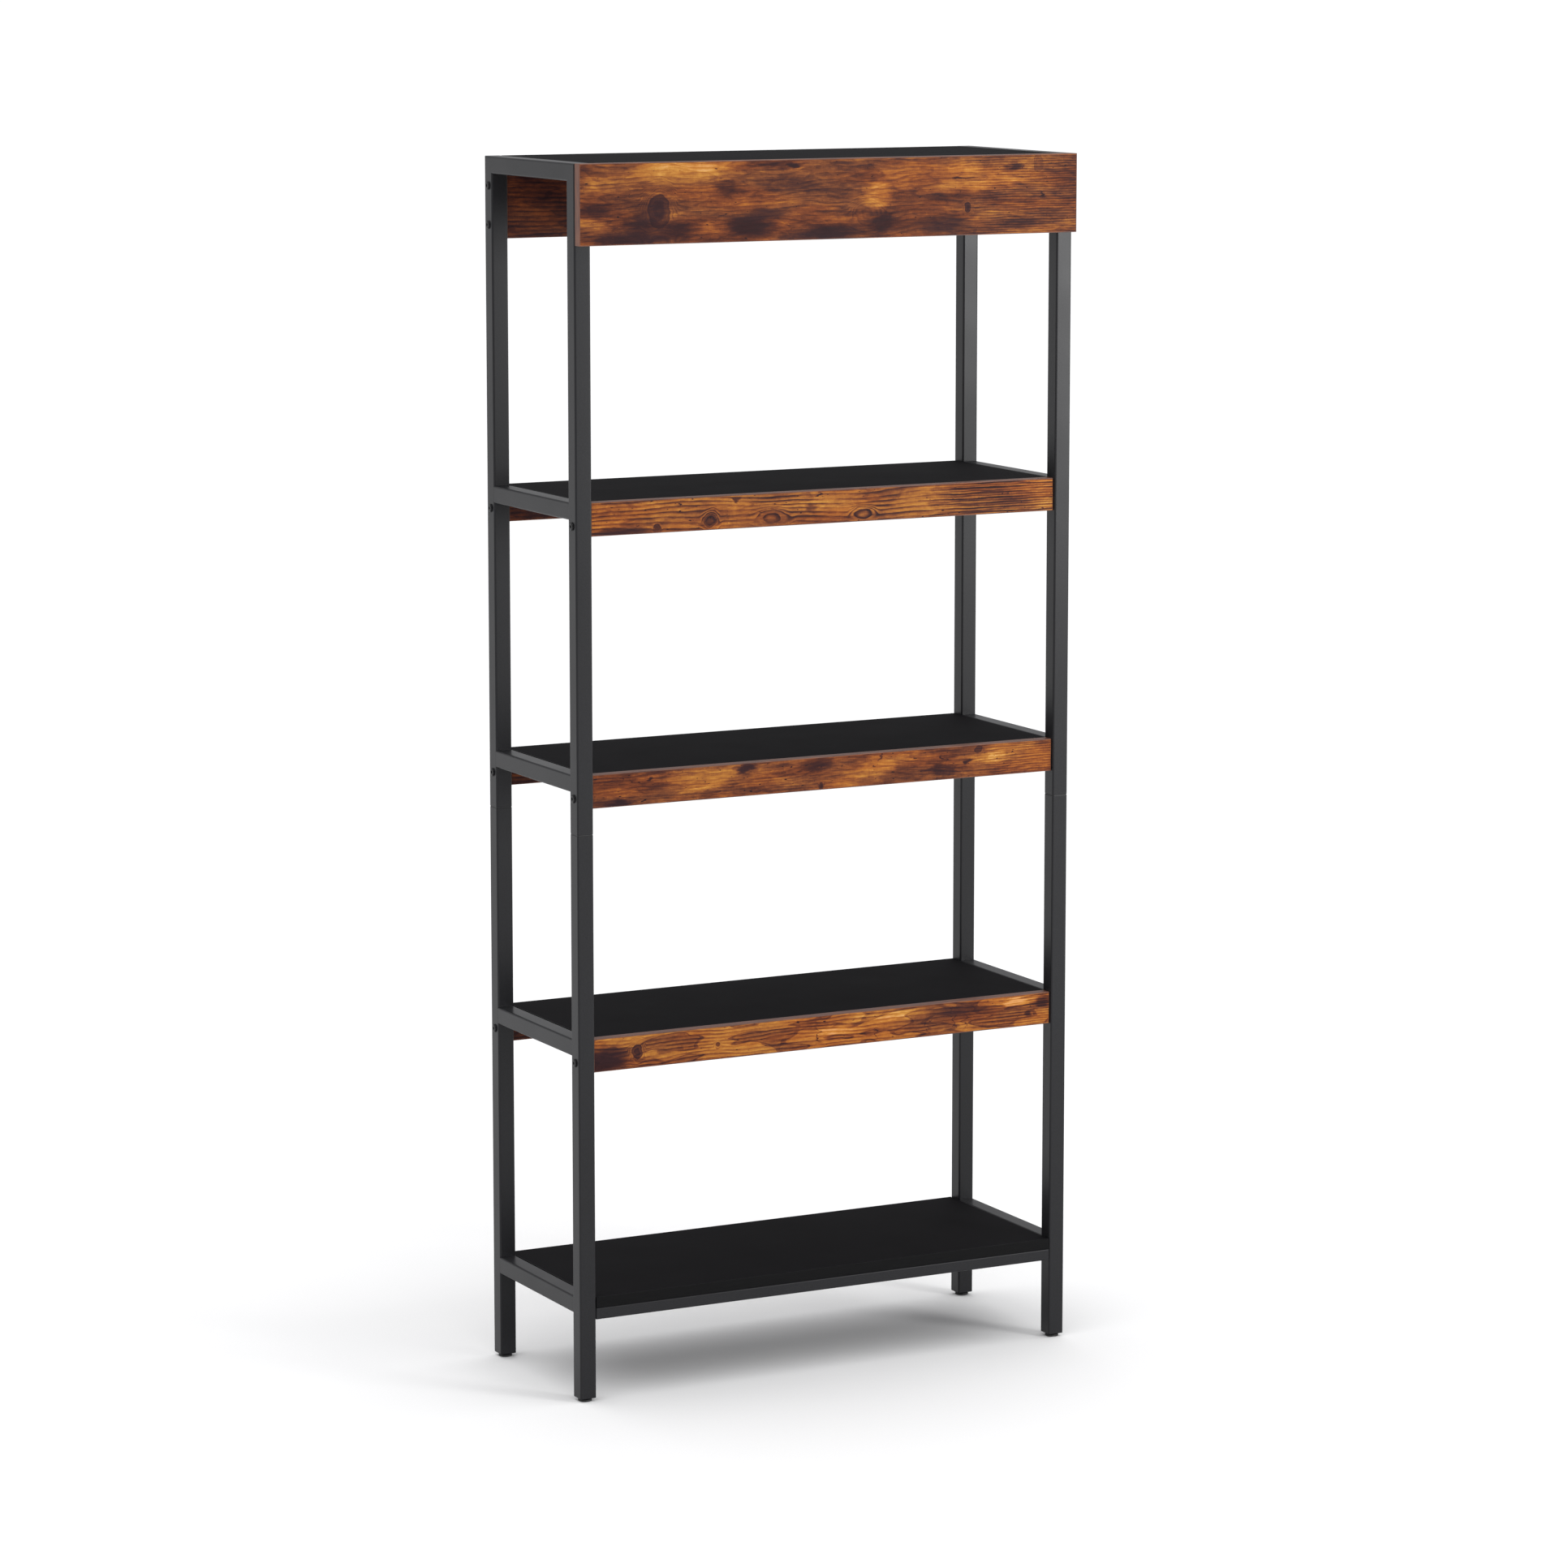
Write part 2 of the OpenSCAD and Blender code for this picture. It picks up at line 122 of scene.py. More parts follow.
class FastenerSettings(bpy.types.PropertyGroup):
    """Sizes of the bolts and screws."""
    bolt_drop: FloatProperty(
        name="Bolt drop", description="Drop of a shelf's bolts below the shelf's top",
        default=33 * MM, unit="LENGTH")
    top_drop: FloatProperty(
        name="Top bolt drop", description="Drop of the highest bolts below the frame's top",
        default=42 * MM, unit="LENGTH")
    top_pitch: FloatProperty(
        name="Top bolt pitch", description="Spacing of the two bolts at each end of a top board",
        default=56 * MM, unit="LENGTH")
    head: FloatProperty(
        name="Head diameter", description="Diameter of a bolt's head",
        default=12 * MM, unit="LENGTH")
    head_height: FloatProperty(
        name="Head height", description="Height of a bolt's head",
        default=2.4 * MM, unit="LENGTH")
    shank: FloatProperty(
        name="Shank diameter", description="Diameter of a bolt's shank",
        default=6 * MM, unit="LENGTH")
    length: FloatProperty(
        name="Bolt length", description="Length of a bolt that runs along a board",
        default=44 * MM, unit="LENGTH")
    fascia_length: FloatProperty(
        name="Fascia bolt length", description="Length of a bolt that holds the fascia",
        default=35 * MM, unit="LENGTH")
    socket: FloatProperty(
        name="Socket", description="Width across the flats of a bolt's socket",
        default=4 * MM, unit="LENGTH")
    screw_head: FloatProperty(
        name="Screw head", description="Diameter of a screw's head",
        default=8 * MM, unit="LENGTH")
    screw_height: FloatProperty(
        name="Screw head height", description="Height of a screw's head",
        default=1.6 * MM, unit="LENGTH")
    screw_shank: FloatProperty(
        name="Screw shank", description="Diameter of a screw's shank",
        default=4 * MM, unit="LENGTH")
    recess: FloatProperty(
        name="Cross recess", description="Width of the cross recess in a screw's head",
        default=4.4 * MM, unit="LENGTH")
    bar_screw: FloatProperty(
        name="Crossbar screw", description="Length of a screw through a crossbar",
        default=29 * MM, unit="LENGTH")
    lug_screw: FloatProperty(
        name="Lug screw", description="Length of a screw into a lug",
        default=14 * MM, unit="LENGTH")
    sides: IntProperty(
        name="Sides", description="Facets round a bolt's head",
        default=32, min=12, max=64)


class FootSettings(bpy.types.PropertyGroup):
    """Sizes of the levelling feet."""
    shoulder: FloatProperty(
        name="Shoulder radius", description="Radius of the shoulder above the pad",
        default=6.5 * MM, unit="LENGTH")
    stud: FloatProperty(
        name="Stud radius", description="Radius of the threaded stud",
        default=4 * MM, unit="LENGTH")
    thread: FloatProperty(
        name="Thread depth", description="Depth of the stud's thread",
        default=0.6 * MM, unit="LENGTH")
    pitch: FloatProperty(
        name="Thread pitch", description="Spacing of the stud's thread",
        default=1.25 * MM, unit="LENGTH")
    slack: FloatProperty(
        name="Stud clearance", description="Radial clearance of the stud in its socket",
        default=0.06 * MM, unit="LENGTH")


class StageSettings(bpy.types.PropertyGroup):
    """The camera and the light."""
    camera: FloatVectorProperty(
        name="Camera", description="Where the camera stands", subtype="TRANSLATION",
        default=(-3.532, -6.786, 2.075), unit="LENGTH")
    turn: FloatProperty(
        name="Turn", description="How far the camera is turned from the back wall's normal",
        default=math.radians(27.51), subtype="ANGLE")
    tilt: FloatProperty(
        name="Tilt", description="How far the camera looks down",
        default=math.radians(8.43), subtype="ANGLE")
    focal: FloatProperty(
        name="Focal length", description="Focal length in millimetres", default=121.3)
    shift: FloatProperty(
        name="Shift", description="Vertical shift of the lens", default=-0.04)
    ceiling: FloatProperty(
        name="Ceiling", description="Strength of the wide soft light overhead", default=1.9)
    softbox: FloatProperty(
        name="Softbox", description="Power of the softbox on the right, in watts", default=80)
    room: FloatProperty(
        name="Room", description="Brightness of the room that the surfaces mirror",
        default=0.58)


# ---- meshes ----

def box_mesh(lo, hi):
    """A plain box between two corners, to be shaped further."""
    bm = bmesh.new()
    size = Matrix.Diagonal((*(hi - lo), 1))
    bmesh.ops.create_cube(bm, size=1, matrix=Matrix.Translation((lo + hi) / 2) @ size)
    return bm


def once(parts):
    """Each mesh part once, in order. A set would give another order on each run."""
    return list(dict.fromkeys(parts))


def round_edges(bm, edges, radius, segments):
    """Rounds the given edges."""
    bmesh.ops.bevel(bm, geom=edges, offset=radius, offset_type="OFFSET", segments=segments,
                    profile=0.5, affect="EDGES", material=-1, clamp_overlap=True)


def facing(bm, axis, sign=0):
    """The faces whose normal lies along an axis, one way or both."""
    return [f for f in bm.faces if abs(f.normal[axis]) > 0.999 and sign * f.normal[axis] >= 0]


def tube_mesh(lo, hi, axis, radius, wall, deburr):
    """A square tube along an axis: rounded corners, broken end edges and a real wall."""
    bm = box_mesh(lo, hi)
    long_edges = [e for e in bm.edges
                  if abs((e.verts[0].co - e.verts[1].co).normalized()[axis]) > 0.999]
    round_edges(bm, long_edges, radius, 6)
    bm.normal_update()
    round_edges(bm, once(e for f in facing(bm, axis) for e in f.edges), deburr, 2)
    bm.normal_update()
    ends = facing(bm, axis)
    bmesh.ops.inset_region(bm, faces=ends, thickness=wall - deburr, use_even_offset=True)
    mouth = once(e for f in ends for e in f.edges)
    bmesh.ops.delete(bm, geom=ends, context="FACES_ONLY")
    bmesh.ops.bridge_loops(bm, edges=mouth)
    return bm


def mitre(bm, point, normal):
    """Cuts a tube off on a slant and closes its wall there. The cut keeps what is behind normal."""
    cut = bmesh.ops.bisect_plane(
        bm, geom=bm.verts[:] + bm.edges[:] + bm.faces[:], dist=1e-7,
        plane_co=point, plane_no=normal, clear_outer=True)
    rim = [g for g in cut["geom_cut"] if isinstance(g, bmesh.types.BMEdge)]
    bmesh.ops.bridge_loops(bm, edges=rim)


def board_mesh(lo, hi, face_axis, settings):
    """A board with eased edges, and a fine glue line between each face and its edge band."""
    bm = box_mesh(lo, hi)
    round_edges(bm, bm.edges[:], settings.arris, 3)
    bm.normal_update()
    for face in bm.faces:
        face.material_index = 1
    faces = facing(bm, face_axis)
    groove = settings.groove
    flat = settings.band - settings.arris
    for thickness, depth in ((flat, 0), (groove, -groove), (groove, groove)):
        bmesh.ops.inset_region(bm, faces=faces, thickness=thickness, depth=depth,
                               use_even_offset=True)
    for face in faces:
        face.material_index = 0
    return bm


def lathe(bm, profile, place, sides):
    """Spins a profile of (radius, height) points round Z, and moves the new part into place."""
    old = set(bm.verts)
    points = [bm.verts.new((radius, 0, height)) for radius, height in profile]
    edges = [bm.edges.new(pair) for pair in zip(points, points[1:])]
    bmesh.ops.spin(bm, geom=points + edges, cent=(0, 0, 0), axis=(0, 0, 1), angle=2 * math.pi,
                   steps=sides, use_merge=True)
    new = [v for v in bm.verts if v not in old]
    bmesh.ops.remove_doubles(bm, verts=new, dist=1e-6)
    new = [v for v in bm.verts if v not in old]
    faces = once(f for v in new for f in v.link_faces)
    bmesh.ops.recalc_face_normals(bm, faces=faces)
    bmesh.ops.transform(bm, matrix=place, verts=new)
    return new


def socket_head(bm, place, head, height, shank, length, socket, sides, points=6, waist=1.0):
    """A low domed bolt, seated at the origin and pointing down, with a socket cut in its head.

    The socket has so many points. A waist under 1 pulls in every other one, for a cross recess.
    """
    old = set(bm.verts)
    crown = 0.36 * head
    dome = [(crown + (head / 2 - crown) * math.sin(a), height * (0.35 + 0.65 * math.cos(a)))
            for a in (math.radians(step * 18) for step in range(6))]
    thread_in = 0.05 * shank
    profile = [*dome, (head / 2, 0), (shank / 2, 0), (shank / 2, thread_in - length),
               (shank / 2 - thread_in, -length), (0, -length)]
    lathe(bm, profile, Matrix(), sides)
    rim = [e for e in bm.edges if e.is_boundary and e.verts[0] not in old]
    mouth = bmesh.ops.create_circle(
        bm, segments=points, radius=socket / 2 / math.cos(math.pi / 6),
        matrix=Matrix.Translation((0, 0, height)))["verts"]
    for pulled in mouth[::2]:
        pulled.co.xy *= waist
    ring = once(e for v in mouth for e in v.link_edges)
    bmesh.ops.bridge_loops(bm, edges=rim + ring)
    wall = bmesh.ops.extrude_edge_only(bm, edges=ring)["geom"]
    floor = [v for v in wall if isinstance(v, bmesh.types.BMVert)]
    bmesh.ops.translate(bm, vec=(0, 0, -0.7 * height), verts=floor)
    bmesh.ops.contextual_create(
        bm, geom=[e for e in wall if isinstance(e, bmesh.types.BMEdge) and e.is_boundary])
    new = [v for v in bm.verts if v not in old]
    bmesh.ops.recalc_face_normals(bm, faces=once(f for v in new for f in v.link_faces))
    bmesh.ops.transform(bm, matrix=place, verts=new)


def finish_piece(name, bm, node, materials):
    """Turns a mesh into a piece that stands for a CAD node and rides on the node's body."""
    mesh = bpy.data.meshes.new(name)
    bmesh.ops.recalc_face_normals(bm, faces=bm.faces[:])
    bm.to_mesh(mesh)
    bm.free()
    for material in materials:
        mesh.materials.append(material)
    for polygon in mesh.polygons:
        polygon.use_smooth = True
    mesh.set_sharp_from_angle(angle=math.radians(40))
    piece = bpy.data.objects.new(name, mesh)
    bpy.context.collection.objects.link(piece)
    flat = piece.modifiers.new("Flat faces stay flat", "WEIGHTED_NORMAL")
    flat.keep_sharp = True
    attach(piece, BODY_OF[node])
    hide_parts(node)
    return piece


# ---- finishes ----

def add(tree, kind, inputs=None, stops=None, **settings):
    """Adds a node with its settings, then fills its inputs with values or links.

    An input may be given a socket, or a node, which stands for its first live output.
    """
    node = tree.nodes.new("ShaderNode" + kind)
    for name, value in settings.items():
        setattr(node, name, value)
    if stops:
        elements = node.color_ramp.elements
        while len(elements) < len(stops):
            elements.new(0.5)
        for element, (place, colour) in zip(elements, stops):
            element.position, element.color = place, linear(colour)
    for key, value in (inputs or {}).items():
        live = [s for s in node.inputs if s.enabled]
        socket = live[key] if isinstance(key, int) else next(s for s in live if s.name == key)
        if isinstance(value, bpy.types.Node):
            value = next(s for s in value.outputs if s.enabled)
        if isinstance(value, bpy.types.NodeSocket):
            tree.links.new(value, socket)
        else:
            socket.default_value = value
    return node


def span(value, low, high, to_low=0.0, to_high=1.0):
    """The inputs that take a value from one span to another."""
    return {"Value": value, "From Min": low, "From Max": high, "To Min": to_low, "To Max": to_high}


def start_finish(name):
    """A new material, its emptied node tree, and the position on the object in metres."""
    material = bpy.data.materials.new(name)
    material.use_nodes = True
    tree = material.node_tree
    tree.nodes.clear()
    place = add(tree, "TexCoord").outputs["Object"]
    return material, tree, place


def end_finish(tree, height, depth_mm, **shader):
    """Joins the shader and its bump, whose depth is in millimetres, to the output."""
    bump = add(tree, "Bump", {"Height": height, "Distance": depth_mm * MM, "Strength": 1.0})
    inputs = {name.replace("_", " "): value for name, value in shader.items()}
    surface = add(tree, "BsdfPrincipled", {**inputs, "Normal": bump})
    add(tree, "OutputMaterial", {"Surface": surface})


def powder_coated_steel():
    """Steel with a charcoal polyester powder coat, sprayed and baked.

    The coat flows into a faint orange peel about 2 mm across, with a fine grain on it that
    breaks up its satin highlight.
    """
    material, tree, place = start_finish("powder_coated_steel")
    scale = 1 / MM
    peel = add(tree, "TexNoise", {"Vector": place, "Scale": scale / 2.2, "Detail": 1.0})
    # The real grain is about 0.2 mm. It is drawn at 0.9 mm so that it shows.
    grain = add(tree, "TexNoise", {"Vector": place, "Scale": scale / 0.9, "Detail": 2.0})
    cloud = add(tree, "TexNoise", {"Vector": place, "Scale": scale / 160, "Detail": 2.0})
    colour = bpy.context.scene.bookcase_steel.colour
    lighter = [min(1, c * 1.7) for c in colour[:3]] + [1]
    speckle = add(tree, "MapRange", span(grain, 0.3, 0.75))
    base = add(tree, "Mix", {"Factor": speckle, "A": tuple(colour), "B": lighter},
               data_type="RGBA")
    rough = add(tree, "MapRange", span(cloud, 0.3, 0.7, 0.30, 0.37))
    height = add(tree, "Math", {0: grain, 1: 0.35, 2: peel}, operation="MULTIPLY_ADD")
    end_finish(tree, height, 0.035, Base_Color=base, Roughness=rough, Specular_IOR_Level=0.21)
    return material


def pressed_black_melamine():
    """Chipboard faced with matt black melamine paper, pressed on a fine pearl plate.

    The pearl texture keeps it dull even at a low angle.
    """
    material, tree, place = start_finish("pressed_black_melamine")
    # The plate's pearls are about 0.3 mm across. They are drawn at 1 mm so that they show.
    pearl = add(tree, "TexNoise", {"Vector": place, "Scale": 1 / MM, "Detail": 2.0})
    cloud = add(tree, "TexNoise", {"Vector": place, "Scale": 1 / (90 * MM), "Detail": 3.0})
    colour = bpy.context.scene.bookcase_boards.black
    lighter = [min(1, c * 1.5) for c in colour[:3]] + [1]
    base = add(tree, "Mix", {"Factor": pearl, "A": tuple(colour), "B": lighter},
               data_type="RGBA")
    rough = add(tree, "MapRange", span(cloud, 0.3, 0.7, 0.80, 0.84))
    end_finish(tree, pearl, 0.03, Base_Color=base, Roughness=rough, Specular_IOR_Level=0.06)
    return material


def scraped_black_edge_band():
    """Black ABS edge band, extruded, glued on and scraped. A little glossier than the faces."""
    material, tree, place = start_finish("scraped_black_edge_band")
    along = add(tree, "VectorMath", {0: place, 1: (30, 500, 1600)}, operation="MULTIPLY")
    scrape = add(tree, "TexNoise", {"Vector": along, "Scale": 1.0, "Detail": 2.0})
    base = add(tree, "ValToRGB", {"Fac": scrape}, stops=[(0.3, "#0b0b0c"), (0.75, "#121213")])
    rough = add(tree, "MapRange", span(scrape, 0.3, 0.7, 0.42, 0.52))
    end_finish(tree, scrape, 0.02, Base_Color=base, Roughness=rough, Specular_IOR_Level=0.08)
    return material


# The tones of the rustic print, from burnt knots to worn amber
TONES = [(0.0, "#1d0f14"), (0.18, "#32191b"), (0.36, "#532c1d"), (0.54, "#7c4625"),
         (0.72, "#a4682b"), (0.88, "#bf873b"), (1.0, "#d2a164")]

# One entry for each printed board. Places are in millimetres from the board's lower left
# corner, as (across, up, half width, half height), with a strength for a patch: dark patches
# are negative. A knot has rings round it, and a strength for its dark core. Grain is the
# depth of the growth lines, pitch their spacing, mottle the soft clouds, blotch the
# hard-edged ones, and saw the place where the saw marks begin and how deep they are.
PRINTS = {
    "fascia": dict(
        seed=3.1, tone=0.48, grain=0.14, pitch=7.5, mottle=0.46, blotch=0.05, fibre=0.46,
        wave=7, saw=(560, 0.11),
        knots=[(123, 46, 14, 19, 0.7), (123, 3, 15, 8, 0.12), (617, 40, 4, 6, 0.7),
               (733, 101, 7, 11, 0.1), (452, 34, 14, 12, 0.0)],
        patches=[(80, 8, 70, 12, -0.42), (98, 30, 24, 26, -0.36), (150, 18, 34, 18, -0.40),
                 (20, 48, 30, 10, -0.32), (264, 20, 46, 18, -0.50), (291, 38, 38, 10, -0.34),
                 (232, 70, 22, 14, -0.30), (392, 9, 52, 11, -0.48), (476, 22, 26, 17, -0.40),
                 (337, 106, 12, 4, -0.55), (696, 97, 19, 6, -0.55), (560, 16, 76, 14, -0.30),
                 (700, 14, 60, 10, -0.22), (162, 102, 80, 20, 0.36), (470, 60, 26, 20, 0.30),
                 (600, 84, 120, 22, 0.22), (210, 58, 54, 20, 0.16), (330, 82, 60, 16, -0.12),
                 (739, 56, 3, 7, -0.5), (605, 82, 26, 1.6, -0.4), (50, 84, 50, 14, 0.10)]),
    "upper_front_apron": dict(
        seed=11.7, tone=0.66, grain=0.46, pitch=6.5, mottle=0.26, blotch=0.05, fibre=0.22,
        wave=3.5, saw=(500, 0.17),
        knots=[(187, 14, 8, 8, 0.45), (103, 8, 4, 4, 0.6), (285, 12, 16, 8, 0.05),
               (433, 11, 12, 6, 0.06)],
        patches=[(48, 3, 46, 8, -0.44), (349, 24, 10, 7, -0.30), (640, 24, 110, 26, -0.13),
                 (363, 42, 4, 3, -0.5), (229, 40, 5, 4, -0.35), (120, 34, 90, 12, 0.10),
                 (330, 30, 60, 10, 0.10), (690, 16, 40, 9, -0.14)]),
    "middle_front_apron": dict(
        seed=23.4, tone=0.50, grain=0.12, pitch=5.5, mottle=0.44, blotch=0.04, fibre=0.42,
        wave=7, saw=(560, 0.10),
        knots=[(364, 5, 3, 4, 0.7), (625, 41, 5, 4, 0.5)],
        patches=[(41, 3, 24, 7, -0.66), (92, 36, 3.5, 3, -0.5), (243, 40, 17, 11, -0.44),
                 (360, 38, 30, 10, -0.40), (460, 40, 3, 6, -0.55), (568, 31, 2, 5, -0.6),
                 (557, 17, 15, 9, -0.26), (580, 17, 9, 6, -0.18), (611, 24, 5, 3, -0.45),
                 (106, 45, 30, 4, -0.30), (160, 26, 60, 16, 0.20), (455, 30, 34, 14, 0.22),
                 (655, 32, 20, 16, 0.20), (10, 20, 30, 30, -0.14)]),
    "lower_front_apron": dict(
        seed=37.9, tone=0.66, grain=0.30, pitch=5.5, mottle=0.16, blotch=0.15, fibre=0.20,
        wave=4, saw=(610, 0.12),
        knots=[(69, 24, 6, 9, 0.6), (197, 22, 3, 3, 0.5)],
        patches=[(14, 14, 46, 22, -0.50), (326, 42, 3, 2.5, -0.5), (359, 20, 1.2, 16, -0.45),
                 (586, 24, 110, 9, -0.20), (585, 24, 1.2, 20, -0.45), (606, 18, 1.1, 14, -0.42),
                 (543, 18, 1.0, 16, -0.36), (456, 12, 1.0, 12, -0.36), (596, 34, 58, 9, -0.26),
                 (694, 38, 27, 8, 0.36), (738, 34, 14, 10, -0.44), (470, 38, 60, 8, 0.20),
                 (390, 24, 40, 10, 0.20), (712, 20, 7, 4, -0.40)]),
}
# Boards at the back carry the same kind of print, cut from a plainer stretch of it. Its low tone is
# painted shade: it darkens these boards for the shade that falls at the back.
SHADED_BACK_PRINT = dict(tone=0.33, grain=0.20, pitch=6.5, mottle=0.30, blotch=0.06, fibre=0.40,
                   wave=2, saw=(900, 0.0), knots=[], patches=[])


def rustic_foil(name, corner, print_):
    """Chipboard faced with paper foil, printed as rustic brown timber and lacquered satin.

    The print has growth lines that bend round knots, fine fibres, burnt patches, saw marks
    and small dark flecks. The foil is embossed a little along the fibres.
    """
    material, tree, place = start_finish(name)

    def new(kind, inputs=None, **settings):
        return add(tree, kind, inputs, **settings)

    origin = (-corner.x / MM, print_["seed"], -corner.z / MM)
    mm = new("Mapping", {"Vector": place, "Location": origin, "Scale": (1 / MM, 0, 1 / MM)})

    def streaks(length, width, detail, source=mm):
        """Noise whose grains are so many millimetres long and wide."""
        stretch = new("VectorMath", {0: source, 1: (1 / length, 1, 1 / width)},
                      operation="MULTIPLY")
        return new("TexNoise", {"Vector": stretch, "Scale": 1.0, "Detail": detail})

    def pushed(source, noise, reach, width):
        """A position moved by a noise's colour, up to half of reach and width each way."""
        centred = new("VectorMath", {0: noise.outputs["Color"], 1: (0.5, 0.5, 0.5)},
                      operation="SUBTRACT")
        return new("VectorMath", {0: centred, 1: (reach, 0, width), 2: source},
                   operation="MULTIPLY_ADD")

    def away(source, spot):
        """Distance from a spot's middle, 1 at its rim."""
        across, up, half_w, half_h = spot[:4]
        scaled = new("VectorMath", {0: source, 1: (1 / half_w, 0, 1 / half_h),
                                    2: (-across / half_w, 0, -up / half_h)},
                     operation="MULTIPLY_ADD")
        return new("VectorMath", {0: scaled}, operation="LENGTH").outputs["Value"]

    smooth = {"interpolation_type": "SMOOTHSTEP"}
    bent = pushed(mm, streaks(190, 60, 1.0), 60, 6.5 * print_["wave"])
    wavy = pushed(bent, streaks(46, 15, 1.0), 16, print_["wave"])
    ragged = pushed(mm, streaks(24, 7, 4.0), 44, 13)

    # Growth lines, which turn to rings round each knot
    growth = new("SeparateXYZ", {"Vector": wavy}).outputs["Z"]
    burnt = new("Value")
    for knot in print_["knots"]:
        reach = away(pushed(mm, streaks(24, 12, 1.0), 10, 6), knot)
        ring = new("Math", {0: reach, 1: knot[3] * 0.9}, operation="MULTIPLY")
        near = new("MapRange", span(reach, 1.2, 2.6, 1.0, 0.0), **smooth)
        growth = new("Mix", {"Factor": near, "A": growth, "B": ring}, data_type="FLOAT")
        core = new("MapRange", span(reach, 0.5, 1.1, knot[4], 0.0), **smooth)
        bark = new("Math", {0: reach, 1: 0.95, 2: 0.3}, operation="COMPARE")
        bark = new("Math", {0: bark, 1: min(0.45, 2 * knot[4])}, operation="MULTIPLY")
        for dark in (core, bark):
            burnt = new("Math", {0: burnt, 1: dark}, operation="MAXIMUM")
    turns = new("Math", {0: growth, 1: print_["pitch"]}, operation="DIVIDE")
    phase = new("Math", {0: turns}, operation="FRACT")
    late = new("MapRange", span(phase, 0.25, 0.92), **smooth)
    early = new("MapRange", span(phase, 0.93, 1.0, 1.0, 0.0), **smooth)
    line = new("Math", {0: late, 1: early}, operation="MULTIPLY")
    uneven = new("MapRange", span(streaks(70, 12, 2.0), 0.34, 0.62, 0.3, 1.0), **smooth)
    line = new("Math", {0: line, 1: uneven}, operation="MULTIPLY")

    # Layers that lighten or darken the tone, each centred on nothing
    fibres = streaks(34, 1.1, 3.0)
    clouds = streaks(85, 22, 4.0, ragged)
    hard = new("MapRange", span(streaks(80, 18, 1.0, wavy), 0.44, 0.53), **smooth)
    rim = new("Math", {0: new("Math", {0: hard, 1: 0.4, 2: 0.32}, operation="COMPARE"),
                       1: streaks(30, 12, 1.0)}, operation="MULTIPLY")
    tick = streaks(1.6, 7, 2.0)
    layers = [(fibres, print_["fibre"], -0.5), (clouds, print_["mottle"] * 2, -0.5),
              (streaks(13, 3.2, 3.0), 0.36, -0.5), (hard, print_["blotch"], -0.5),
              (rim, -2 * print_["blotch"], 0.0), (tick, 0.10, -0.5), (line, -print_["grain"], 0.0)]
    tone = new("Value")
    tone.outputs[0].default_value = print_["tone"]
    for layer, strength, centre in layers:
        shifted = new("Math", {0: layer, 1: centre}, operation="ADD")
        tone = new("Math", {0: shifted, 1: strength, 2: tone}, operation="MULTIPLY_ADD")
    for patch in print_["patches"]:
        # A dark patch scales the tone, so that the grain still shows in it
        reach, strength = away(ragged, patch), patch[4]
        if strength < 0:
            kept = max(0.22, 1 + 1.6 * strength)
            mask = new("MapRange", span(reach, 0.3, 1.3, kept, 1.0), **smooth)
            tone = new("Math", {0: tone, 1: mask}, operation="MULTIPLY")
        else:
            mask = new("MapRange", span(reach, 0.45, 1.25, strength, 0.0), **smooth)
            tone = new("Math", {0: tone, 1: mask}, operation="ADD")
    unburnt = new("Math", {0: 1.0, 1: burnt}, operation="SUBTRACT")
    tone = new("Math", {0: tone, 1: unburnt}, operation="MULTIPLY")

    # Saw marks: fine ridges along the board, over its far end
    saw_from, saw_depth = print_["saw"]
    across = new("SeparateXYZ", {"Vector": mm}).outputs["X"]
    height = new("SeparateXYZ", {"Vector": pushed(mm, streaks(60, 9, 2.0), 0, 5)}).outputs["Z"]
    ridge = new("Math", {0: new("Math", {0: height, 1: 2 * math.pi / 3.6}, operation="MULTIPLY")},
                operation="SINE")
    reached = new("MapRange", span(across, saw_from, saw_from + 110, 0.0, saw_depth), **smooth)
    tone = new("Math", {0: ridge, 1: reached, 2: tone}, operation="MULTIPLY_ADD")

    # Small dark flecks, and the pale ticks that the print has in its dark stretches
    fleck = new("MapRange", span(streaks(8, 3.4, 1.0), 0.72, 0.77, 0.0, 0.5), **smooth)
    tone = new("Math", {0: tone, 1: fleck}, operation="SUBTRACT")
    pale = new("MapRange", span(streaks(7, 0.9, 2.0), 0.60, 0.72, 0.0, 0.11), **smooth)
    tone = new("Math", {0: tone, 1: pale}, operation="ADD")

    printed = new("ValToRGB", {"Fac": tone}, stops=TONES)
    redder = new("Mix", {"Factor": 1.0, "A": printed, "B": linear("#f8e4da")}, data_type="RGBA",
                 blend_type="MULTIPLY")
    warmth = new("MapRange", span(streaks(150, 34, 2.0), 0.38, 0.62), **smooth)
    base = new("Mix", {"Factor": warmth, "A": printed, "B": redder}, data_type="RGBA")
    rough = new("MapRange", span(fibres, 0.3, 0.7, 0.44, 0.56))
    end_finish(tree, fibres, 0.06, Base_Color=base, Roughness=rough, Specular_IOR_Level=0.1)
    return material


def printed_pvc_edge_band():
    """Printed PVC edge band: the same timber in a duller, pinker print, with long fibres."""
    material, tree, place = start_finish("printed_pvc_edge_band")
    # Long along the board on its top and bottom, and long up and down on its ends
    along = add(tree, "VectorMath", {0: place, 1: (22, 900, 40)}, operation="MULTIPLY")
    fibres = add(tree, "TexNoise", {"Vector": along, "Scale": 1.0, "Detail": 3.0})
    base = add(tree, "ValToRGB", {"Fac": fibres},
               stops=[(0.25, "#3c2019"), (0.5, "#643a29"), (0.78, "#8f5c40")])
    rough = add(tree, "MapRange", span(fibres, 0.3, 0.7, 0.40, 0.52))
    end_finish(tree, fibres, 0.04, Base_Color=base, Roughness=rough, IOR=1.5)
    return material


